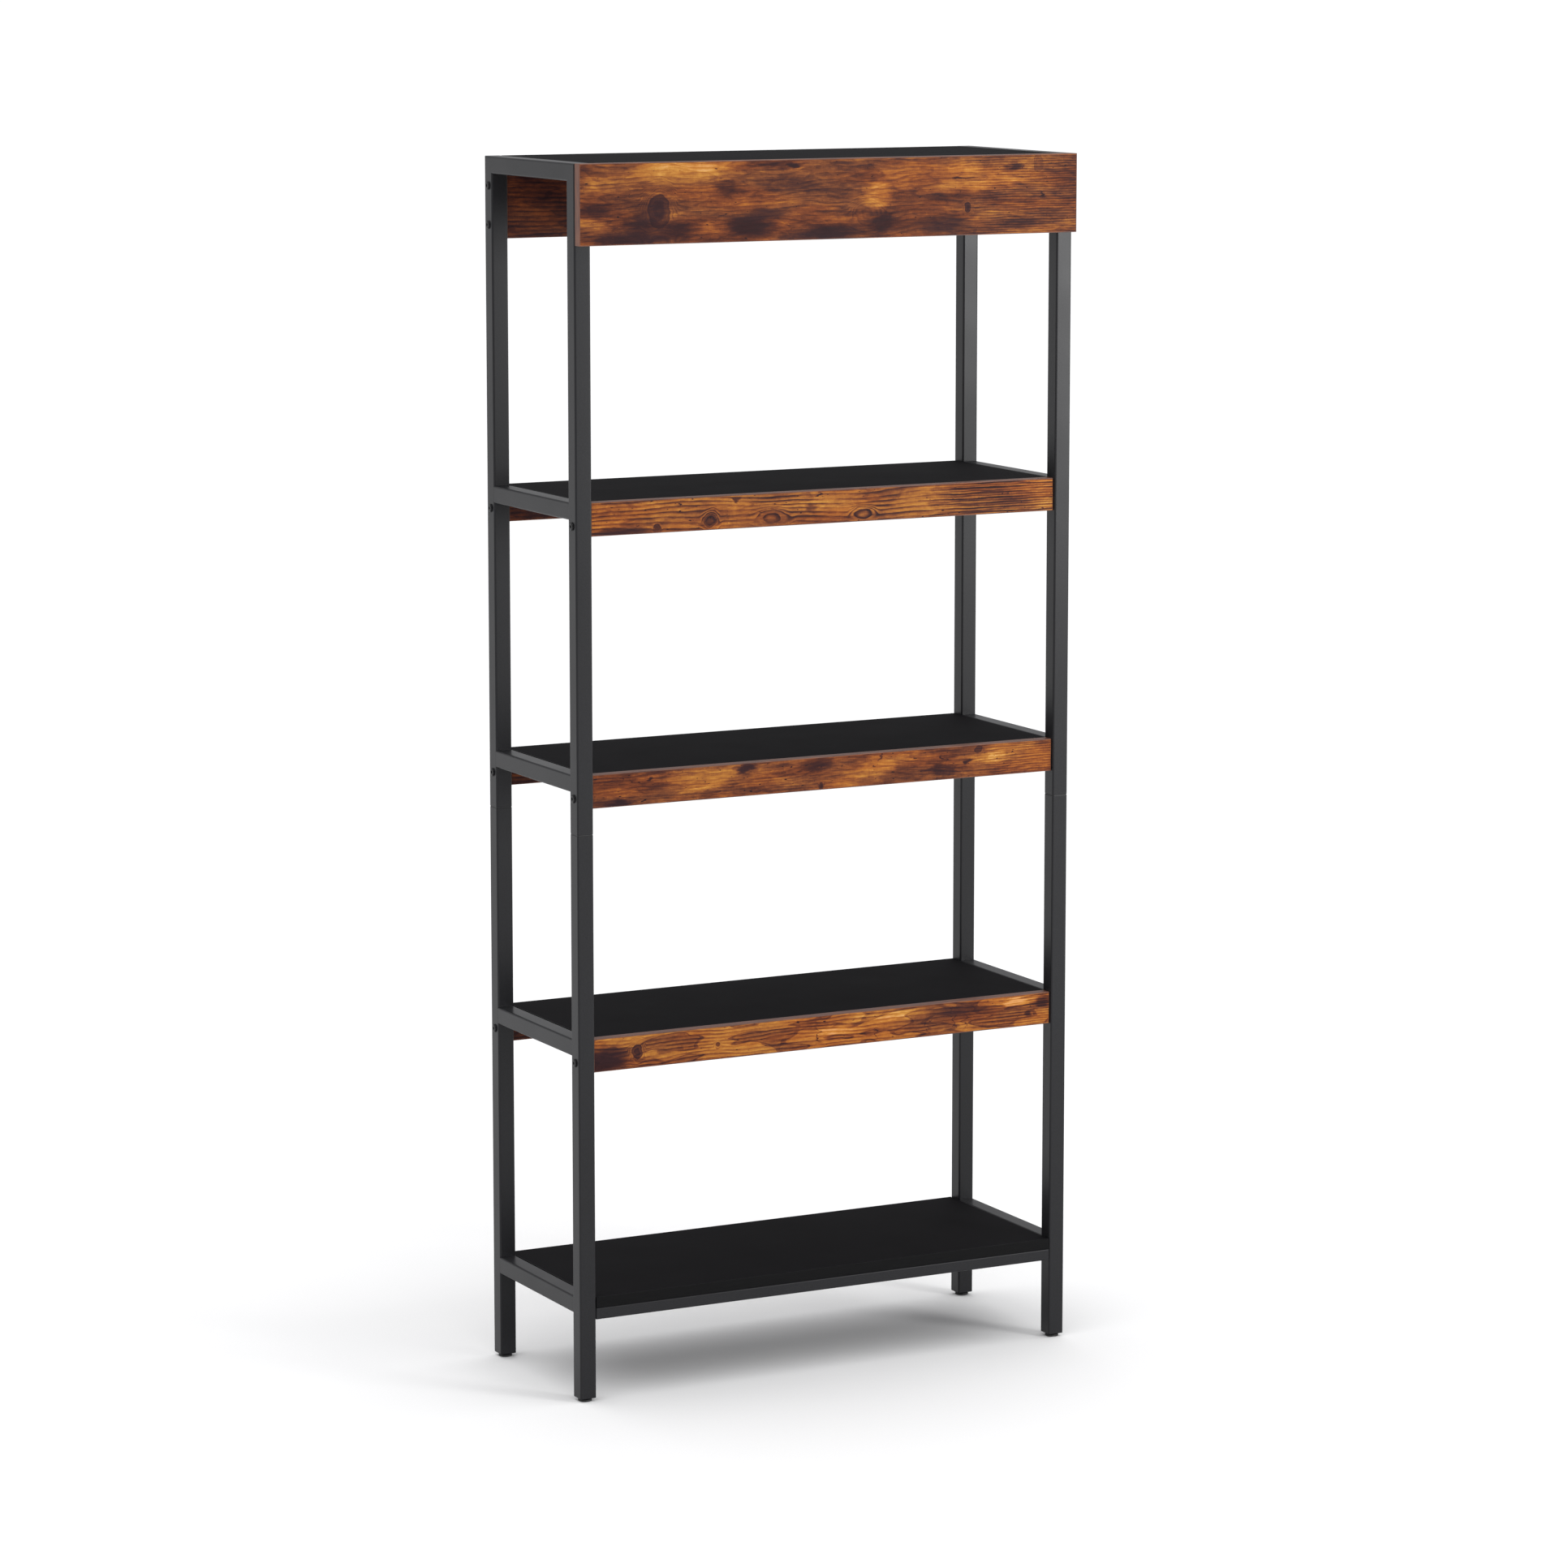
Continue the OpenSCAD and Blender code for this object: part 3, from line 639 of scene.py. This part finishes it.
def moulded_black_nylon():
    """Black nylon, injection moulded in a spark-eroded tool, so it is dull with a fine grain."""
    material, tree, place = start_finish("moulded_black_nylon")
    grain = add(tree, "TexNoise", {"Vector": place, "Scale": 1 / (0.5 * MM), "Detail": 2.0})
    base = add(tree, "ValToRGB", {"Fac": grain}, stops=[(0.3, "#131314"), (0.75, "#202021")])
    rough = add(tree, "MapRange", span(grain, 0.3, 0.7, 0.45, 0.60))
    end_finish(tree, grain, 0.03, Base_Color=base, Roughness=rough, IOR=1.53)
    return material


def black_oxide_steel():
    """Steel bolts and screws, blackened in a hot oxide bath and oiled."""
    material, tree, place = start_finish("black_oxide_steel")
    grain = add(tree, "TexNoise", {"Vector": place, "Scale": 1 / (0.6 * MM), "Detail": 3.0})
    base = add(tree, "ValToRGB", {"Fac": grain}, stops=[(0.3, "#161617"), (0.8, "#2c2c2e")])
    rough = add(tree, "MapRange", span(grain, 0.3, 0.7, 0.26, 0.40))
    end_finish(tree, grain, 0.01, Base_Color=base, Roughness=rough, Metallic=0.7)
    return material


def zinc_plated_die_casting():
    """Threaded inserts, die cast and bright zinc plated."""
    material, tree, place = start_finish("zinc_plated_die_casting")
    bloom = add(tree, "TexNoise", {"Vector": place, "Scale": 1 / (1.5 * MM), "Detail": 3.0})
    base = add(tree, "ValToRGB", {"Fac": bloom}, stops=[(0.3, "#a39c8b"), (0.7, "#c8c3b4")])
    rough = add(tree, "MapRange", span(bloom, 0.3, 0.7, 0.25, 0.42))
    end_finish(tree, bloom, 0.01, Base_Color=base, Roughness=rough, Metallic=1.0)
    return material


def turned_beech():
    """Fluted beech dowels: pale, straight grained, with short brown rays."""
    material, tree, place = start_finish("turned_beech")
    along = add(tree, "VectorMath", {0: place, 1: (900, 120, 900)}, operation="MULTIPLY")
    rays = add(tree, "TexNoise", {"Vector": along, "Scale": 1.0, "Detail": 3.0})
    base = add(tree, "ValToRGB", {"Fac": rays}, stops=[(0.3, "#b58a5c"), (0.7, "#d8b98a")])
    end_finish(tree, rays, 0.04, Base_Color=base, Roughness=0.65, IOR=1.5)
    return material


def finish(builder):
    """The material that a builder is named after, made the first time that it is asked for."""
    return bpy.data.materials.get(builder.__name__) or builder()


# ---- one operator for each kind of piece ----

def post_centre(corner):
    """The middle of a post, seen from above."""
    lo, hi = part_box(f"{corner}_lower_post")
    return (lo + hi) / 2


def shelf_top(level):
    """Height of a shelf's top."""
    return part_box(f"{level}_shelf")[1].z


class MakePosts(bpy.types.Operator):
    """Builds the eight half posts: hollow square tube, mitred at the top"""
    bl_idname = "bookcase.make_posts"
    bl_label = "Posts"

    def execute(self, context):
        steel = context.scene.bookcase_steel
        for corner in CORNERS:
            front = corner.endswith("front")
            for half in ("upper", "lower"):
                node = f"{corner}_{half}_post"
                lo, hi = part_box(node)
                if half == "upper":
                    outer = Vector((0, lo.y if front else hi.y, FRAME_TOP))
                    spare = hi + Vector((0, 0, hi.y - lo.y))
                    bm = tube_mesh(lo, spare, Z, steel.corner, steel.wall, steel.deburr)
                    mitre(bm, outer, Vector((0, 1 if front else -1, 1)))
                else:
                    bm = tube_mesh(lo, hi, Z, steel.corner, steel.wall, steel.deburr)
                finish_piece(f"{node}_tube", bm, node, [finish(powder_coated_steel)])
        return {"FINISHED"}


class MakeRails(bpy.types.Operator):
    """Builds the ten side rails, ground flush with the posts where they are welded"""
    bl_idname = "bookcase.make_rails"
    bl_label = "Side rails"

    def execute(self, context):
        steel = context.scene.bookcase_steel
        for side in SIDES:
            for level in ("top", "upper", "middle", "lower", "bottom"):
                node = f"{side}_{level}_rail"
                lo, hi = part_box(node)
                # The weld fills the posts' rounded corners, so the rail runs that far into them
                reach = Vector((0, steel.corner, 0))
                if level == "top":
                    reach = Vector((0, hi.z - lo.z, 0))
                bm = tube_mesh(lo - reach, hi + reach, Y, steel.corner, steel.wall, steel.deburr)
                if level == "top":
                    mitre(bm, Vector((0, lo.y, FRAME_TOP)), Vector((0, -1, -1)))
                    mitre(bm, Vector((0, hi.y, FRAME_TOP)), Vector((0, 1, -1)))
                finish_piece(f"{node}_tube", bm, node, [finish(powder_coated_steel)])
        return {"FINISHED"}


class MakeTubeJoints(bpy.types.Operator):
    """Builds the four joints that plug the post halves together, with their collars"""
    bl_idname = "bookcase.make_tube_joints"
    bl_label = "Tube joints"

    def execute(self, context):
        steel = context.scene.bookcase_steel
        for corner in CORNERS:
            node = f"{corner}_tube_joint"
            lo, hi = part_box(node)
            middle = (lo.z + hi.z) / 2
            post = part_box(f"{corner}_upper_post")
            plug = post[1].x - post[0].x - 2 * steel.wall - 0.6 * MM
            slack = Vector((1, 1, 0)) * ((hi.x - lo.x) - plug) / 2
            bm = tube_mesh(lo + slack, hi - slack, Z, 1 * MM, 2 * MM, steel.deburr)
            half = steel.joint_reach / 2
            collar = box_mesh(Vector((lo.x, lo.y, middle - half)),
                              Vector((hi.x, hi.y, middle + half)))
            round_edges(collar, [e for e in collar.edges
                                 if abs(e.verts[0].co.z - e.verts[1].co.z) > half], steel.corner, 6)
            whole = bpy.data.meshes.new("collar")
            collar.to_mesh(whole)
            collar.free()
            bm.from_mesh(whole)
            bpy.data.meshes.remove(whole)
            finish_piece(f"{node}_plug", bm, node, [finish(moulded_black_nylon)])
        return {"FINISHED"}


class MakeCrossbars(bpy.types.Operator):
    """Builds the two crossbars under the bottom shelf and coats the lugs that hold them"""
    bl_idname = "bookcase.make_crossbars"
    bl_label = "Crossbars"

    def execute(self, context):
        steel = context.scene.bookcase_steel
        for end in ENDS:
            node = f"{end}_crossbar"
            lo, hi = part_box(node)
            bm = tube_mesh(lo, hi, X, steel.bar_corner, steel.wall, steel.deburr)
            finish_piece(f"{node}_tube", bm, node, [finish(powder_coated_steel)])
        coat_node("crossbar_lugs", finish(powder_coated_steel))
        return {"FINISHED"}


class MakePrintedBoards(bpy.types.Operator):
    """Builds the fascia, the aprons and the back board, each with its own stretch of print"""
    bl_idname = "bookcase.make_printed_boards"
    bl_label = "Printed boards"

    def execute(self, context):
        nodes = ["fascia", "back_board"]
        nodes += [f"{level}_{end}_apron" for level in LEVELS for end in ("front", "back")]
        for count, node in enumerate(nodes):
            lo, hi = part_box(node)
            bm = board_mesh(lo, hi, Y, context.scene.bookcase_boards)
            # A board at the back takes the low back tone, which is painted shade for the back of
            # the bookcase
            print_ = PRINTS.get(node) or {**SHADED_BACK_PRINT, "seed": 50.3 + 7.7 * count}
            foil = rustic_foil(f"rustic_foil_{node}", lo, print_)
            finish_piece(f"{node}_board", bm, node, [foil, finish(printed_pvc_edge_band)])
        return {"FINISHED"}


class MakeBlackBoards(bpy.types.Operator):
    """Builds the top panel and the four shelves"""
    bl_idname = "bookcase.make_black_boards"
    bl_label = "Top and shelves"

    def execute(self, context):
        for node in ("top_panel", *[f"{level}_shelf" for level in ("bottom", *LEVELS)]):
            lo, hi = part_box(node)
            bm = board_mesh(lo, hi, Z, context.scene.bookcase_boards)
            finish_piece(f"{node}_board", bm, node,
                         [finish(pressed_black_melamine), finish(scraped_black_edge_band)])
        return {"FINISHED"}


def foot_profile(sizes, pad, tube_end, top):
    """A foot from its sole up: a dished pad, a shoulder, and a stud with ring-shaped threads."""
    shoulder, stud = sizes.shoulder, sizes.stud
    root = stud - sizes.thread
    profile = [(0, 0.5 * MM), (pad - 3 * MM, 0.5 * MM), (pad - 2.2 * MM, 0),
               (pad - 0.6 * MM, 0), (pad - 0.15 * MM, 0.2 * MM), (pad, 0.7 * MM),
               (pad, 2.2 * MM), (pad - 0.3 * MM, 2.8 * MM), (pad - 1 * MM, 3.2 * MM),
               (shoulder + 0.6 * MM, 3.3 * MM), (shoulder, 3.8 * MM),
               (shoulder, tube_end - 0.6 * MM), (shoulder - 0.3 * MM, tube_end - 0.3 * MM)]
    for turn in range(int((top - tube_end) / sizes.pitch)):
        start = tube_end - 0.3 * MM + turn * sizes.pitch
        profile += [(root, start), (root, start + 0.15 * MM), (stud, start + 0.55 * MM),
                    (stud, start + 0.7 * MM), (root, start + 1.1 * MM)]
    return profile + [(root, top - 0.4 * MM), (stud - 1 * MM, top), (0, top)]


def socket_mesh(lo, hi, centre, corner, bore):
    """A block that fills a tube's end, with rounded upright edges and a bore through it."""
    bm = box_mesh(lo, hi)
    upright = [e for e in bm.edges if abs(e.verts[0].co.z - e.verts[1].co.z) > MM]
    round_edges(bm, upright, corner, 4)
    bm.normal_update()
    ends = facing(bm, Z)
    rims = [list(f.edges) for f in ends]
    heights = [f.calc_center_median().z for f in ends]
    bmesh.ops.delete(bm, geom=ends, context="FACES_ONLY")
    rings = []
    for rim, z in zip(rims, heights):
        verts = bmesh.ops.create_circle(
            bm, segments=32, radius=bore,
            matrix=Matrix.Translation((centre.x, centre.y, z)))["verts"]
        ring = once(e for v in verts for e in v.link_edges)
        bmesh.ops.bridge_loops(bm, edges=rim + ring)
        rings += ring
    bmesh.ops.bridge_loops(bm, edges=rings)
    return bm


class MakeFeet(bpy.types.Operator):
    """Builds the four levelling feet and the sockets that they screw into"""
    bl_idname = "bookcase.make_feet"
    bl_label = "Levelling feet"

    def execute(self, context):
        steel = context.scene.bookcase_steel
        sizes = context.scene.bookcase_feet
        for corner in CORNERS:
            node = f"{corner}_foot"
            lo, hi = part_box(node)
            centre = (lo + hi) / 2
            tube_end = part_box(f"{corner}_lower_post")[0].z
            bm = bmesh.new()
            lathe(bm, foot_profile(sizes, (hi.x - lo.x) / 2, tube_end, hi.z),
                  Matrix.Translation((centre.x, centre.y, 0)), 48)
            finish_piece(f"{node}_glide", bm, node, [finish(moulded_black_nylon)])

            node = f"{corner}_foot_socket"
            bm = socket_mesh(*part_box(node), centre, steel.corner - steel.wall,
                             sizes.stud + sizes.slack)
            finish_piece(f"{node}_insert", bm, node, [finish(moulded_black_nylon)])
        return {"FINISHED"}


class MakeBolts(bpy.types.Operator):
    """Builds the bolts and screws, with sockets in their heads"""
    bl_idname = "bookcase.make_bolts"
    bl_label = "Bolts and screws"

    def execute(self, context):
        sizes = context.scene.bookcase_fasteners
        top_heights = [FRAME_TOP - sizes.top_drop, FRAME_TOP - sizes.top_drop - sizes.top_pitch]
        common = (sizes.head, sizes.head_height, sizes.shank)

        def along_x(sign, centre, height, face):
            """Seat on a post's outer face, head outwards."""
            turn = Matrix.Rotation(math.radians(90 * sign), 4, "Y")
            return Matrix.Translation((face, centre.y, height)) @ turn

        for side, sign in zip(SIDES, (-1, 1)):
            node = f"{side}_apron_bolts"
            bm = bmesh.new()
            for end in ENDS:
                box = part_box(f"{side}_{end}_lower_post")
                face = box[0].x if sign < 0 else box[1].x
                for level in LEVELS:
                    place = along_x(sign, post_centre(f"{side}_{end}"),
                                    shelf_top(level) - sizes.bolt_drop, face)
                    socket_head(bm, place, *common, sizes.length, sizes.socket, sizes.sides)
            finish_piece(f"{node}_set", bm, node, [finish(black_oxide_steel)])

        bm = bmesh.new()
        for side, sign in zip(SIDES, (-1, 1)):
            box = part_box(f"{side}_rear_upper_post")
            face = box[0].x if sign < 0 else box[1].x
            for height in top_heights:
                place = along_x(sign, post_centre(f"{side}_rear"), height, face)
                socket_head(bm, place, *common, sizes.length, sizes.socket, sizes.sides)
        finish_piece("back_board_bolts_set", bm, "back_board_bolts", [finish(black_oxide_steel)])

        bm = bmesh.new()
        for side in SIDES:
            lo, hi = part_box(f"{side}_front_upper_post")
            for height in top_heights:
                turn = Matrix.Rotation(math.radians(-90), 4, "X")
                place = Matrix.Translation(((lo.x + hi.x) / 2, hi.y, height)) @ turn
                socket_head(bm, place, *common, sizes.fascia_length, sizes.socket,
                            sizes.sides)
        finish_piece("fascia_bolts_set", bm, "fascia_bolts", [finish(black_oxide_steel)])

        upside_down = Matrix.Rotation(math.pi, 4, "X")
        for node, spread, length in (("crossbar_screws", (-1, 0, 1), sizes.bar_screw),
                                     ("lug_screws", (-1, 1), sizes.lug_screw)):
            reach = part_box(node)[1].x - sizes.screw_head / 2
            bm = bmesh.new()
            for end in ENDS:
                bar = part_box(f"{end}_crossbar")
                for share in spread:
                    seat = Vector((share * reach, (bar[0].y + bar[1].y) / 2, bar[0].z))
                    socket_head(bm, Matrix.Translation(seat) @ upside_down, sizes.screw_head,
                                sizes.screw_height, sizes.screw_shank, length, sizes.recess,
                                sizes.sides, points=8, waist=0.4)
            finish_piece(f"{node}_set", bm, node, [finish(black_oxide_steel)])
        return {"FINISHED"}


def coat_node(node, material):
    """Gives a CAD node that stays a finish of its own."""
    mesh = frame["nodes"][node].data
    mesh.materials.clear()
    mesh.materials.append(material)


class FinishInnerFittings(bpy.types.Operator):
    """Gives the inserts and dowels inside the boards their finishes"""
    bl_idname = "bookcase.finish_inner_fittings"
    bl_label = "Inserts and dowels"

    def execute(self, context):
        for node in ("apron_inserts", "top_inserts"):
            coat_node(node, finish(zinc_plated_die_casting))
        for node in ("upper_dowels", "middle_dowels", "lower_dowels", "top_dowels"):
            coat_node(node, finish(turned_beech))
        return {"FINISHED"}


def rolled_studio_paper():
    """Seamless matt white studio paper, rolled out flat, with a very faint tooth."""
    material, tree, place = start_finish("rolled_studio_paper")
    tooth = add(tree, "TexNoise", {"Vector": place, "Scale": 1 / (3 * MM), "Detail": 2.0})
    base = add(tree, "ValToRGB", {"Fac": tooth}, stops=[(0.2, "#f6f6f6"), (0.8, "#fafafa")])
    end_finish(tree, tooth, 0.02, Base_Color=base, Roughness=0.9, Specular_IOR_Level=0.1)
    return material


class SetStage(bpy.types.Operator):
    """Lays the floor and sets the light and the camera"""
    bl_idname = "bookcase.set_stage"
    bl_label = "Stage"

    def execute(self, context):
        scene = context.scene
        stage = scene.bookcase_stage
        bm = bmesh.new()
        bmesh.ops.create_grid(bm, x_segments=1, y_segments=1, size=400)
        mesh = bpy.data.meshes.new("floor")
        bm.to_mesh(mesh)
        bm.free()
        mesh.materials.append(finish(rolled_studio_paper))
        floor = bpy.data.objects.new("floor", mesh)
        scene.collection.objects.link(floor)

        # A white sweep for the eye, and a dim grey room for what the surfaces mirror
        world = bpy.data.worlds.new("studio")
        scene.world = world
        world.use_nodes = True
        tree = world.node_tree
        tree.nodes.clear()
        seen = add(tree, "Background", {"Color": linear("#ffffff"), "Strength": 1.0})
        room = add(tree, "Background", {"Color": linear("#f6f6f8"), "Strength": stage.room})
        ray = add(tree, "LightPath").outputs["Is Camera Ray"]
        sky = add(tree, "MixShader", {0: ray, 1: room, 2: seen})
        add(tree, "OutputWorld", {"Surface": sky})

        def lamp(name, kind, energy, place, aim, **settings):
            light = bpy.data.lights.new(name, kind)
            light.energy = energy
            for key, value in settings.items():
                setattr(light, key, value)
            holder = bpy.data.objects.new(name, light)
            holder.location = place
            direction = Vector(aim) - Vector(place)
            holder.rotation_euler = direction.to_track_quat("-Z", "Y").to_euler()
            scene.collection.objects.link(holder)

        middle = (0, 0, 0.9)
        lamp("ceiling_bank", "SUN", stage.ceiling, (-0.3, -0.2, 4.9), middle,
             angle=math.radians(100))
        lamp("right_softbox", "AREA", stage.softbox, (2.65, -3.7, 1.55), (0.4, 0, 1.55),
             shape="RECTANGLE", size=1.1, size_y=1.3)

        camera = bpy.data.cameras.new("camera")
        camera.lens = stage.focal
        camera.sensor_width = 36
        camera.shift_y = stage.shift
        camera.clip_end = 1000
        holder = bpy.data.objects.new("camera", camera)
        holder.location = stage.camera
        holder.rotation_euler = (math.pi / 2 - stage.tilt, 0, -stage.turn)
        scene.collection.objects.link(holder)
        scene.camera = holder
        scene.view_settings.view_transform = "Standard"
        return {"FINISHED"}


STEPS = (MakePosts, MakeRails, MakeTubeJoints, MakeCrossbars, MakePrintedBoards,
         MakeBlackBoards, MakeFeet, MakeBolts, FinishInnerFittings, SetStage)
GROUPS = {"bookcase_steel": SteelSettings, "bookcase_boards": BoardSettings,
          "bookcase_fasteners": FastenerSettings, "bookcase_feet": FootSettings,
          "bookcase_stage": StageSettings}


class BookcasePanel(bpy.types.Panel):
    """Lists the steps that build the bookcase"""
    bl_idname = "VIEW3D_PT_bookcase"
    bl_label = "Open Bookcase"
    bl_space_type = "VIEW_3D"
    bl_region_type = "UI"
    bl_category = "Bookcase"

    def draw(self, context):
        for name, group in GROUPS.items():
            settings = getattr(context.scene, name)
            box = self.layout.box()
            for key in group.__annotations__:
                box.prop(settings, key)
        for step in STEPS:
            self.layout.operator(step.bl_idname)


def register():
    for cls in (*GROUPS.values(), *STEPS, BookcasePanel):
        bpy.utils.register_class(cls)
    for name, group in GROUPS.items():
        setattr(bpy.types.Scene, name, PointerProperty(type=group))


def unregister():
    for name in GROUPS:
        delattr(bpy.types.Scene, name)
    for cls in reversed((*GROUPS.values(), *STEPS, BookcasePanel)):
        bpy.utils.unregister_class(cls)


def main():
    register()
    for step in STEPS:
        group, call = step.bl_idname.split(".")
        getattr(getattr(bpy.ops, group), call)()


if __name__ == "__main__":
    main()
